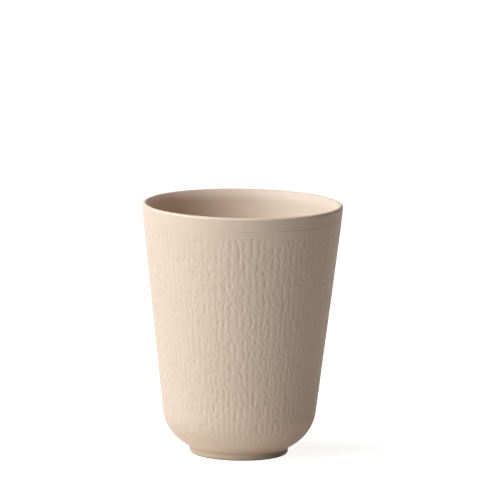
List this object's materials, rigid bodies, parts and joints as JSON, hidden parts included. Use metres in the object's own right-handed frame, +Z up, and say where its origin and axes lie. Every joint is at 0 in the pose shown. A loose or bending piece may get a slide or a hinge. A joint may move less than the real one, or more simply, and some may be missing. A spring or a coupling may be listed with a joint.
{
  "type": "plastic cup",
  "caption": "Handle-less tapered double-wall plastic cup with a smooth flared lip and collar, a bark-textured shell, a rounded heel and a low snap-in foot.",
  "frame": {"origin": "centre of the face that the cup stands on", "axes": "+Z up along the cup's axis, towards the lip; X and Y are free, because the cup is round"},
  "size_m": [0.0796, 0.0796, 0.1],
  "materials": {
    "smooth_plastic": "smooth matte beige, with a slight sheen on the lip",
    "textured_plastic": "matte beige with a fine bark-like relief of near-vertical ridges",
    "seal": "matt silicone rubber"
  },
  "bodies": {
    "root": {"inner_liner": "smooth_plastic", "outer_shell": "textured_plastic", "base_cap": "smooth_plastic", "rim_seal": "seal", "base_seal": "seal"}
  },
  "joints": []
}
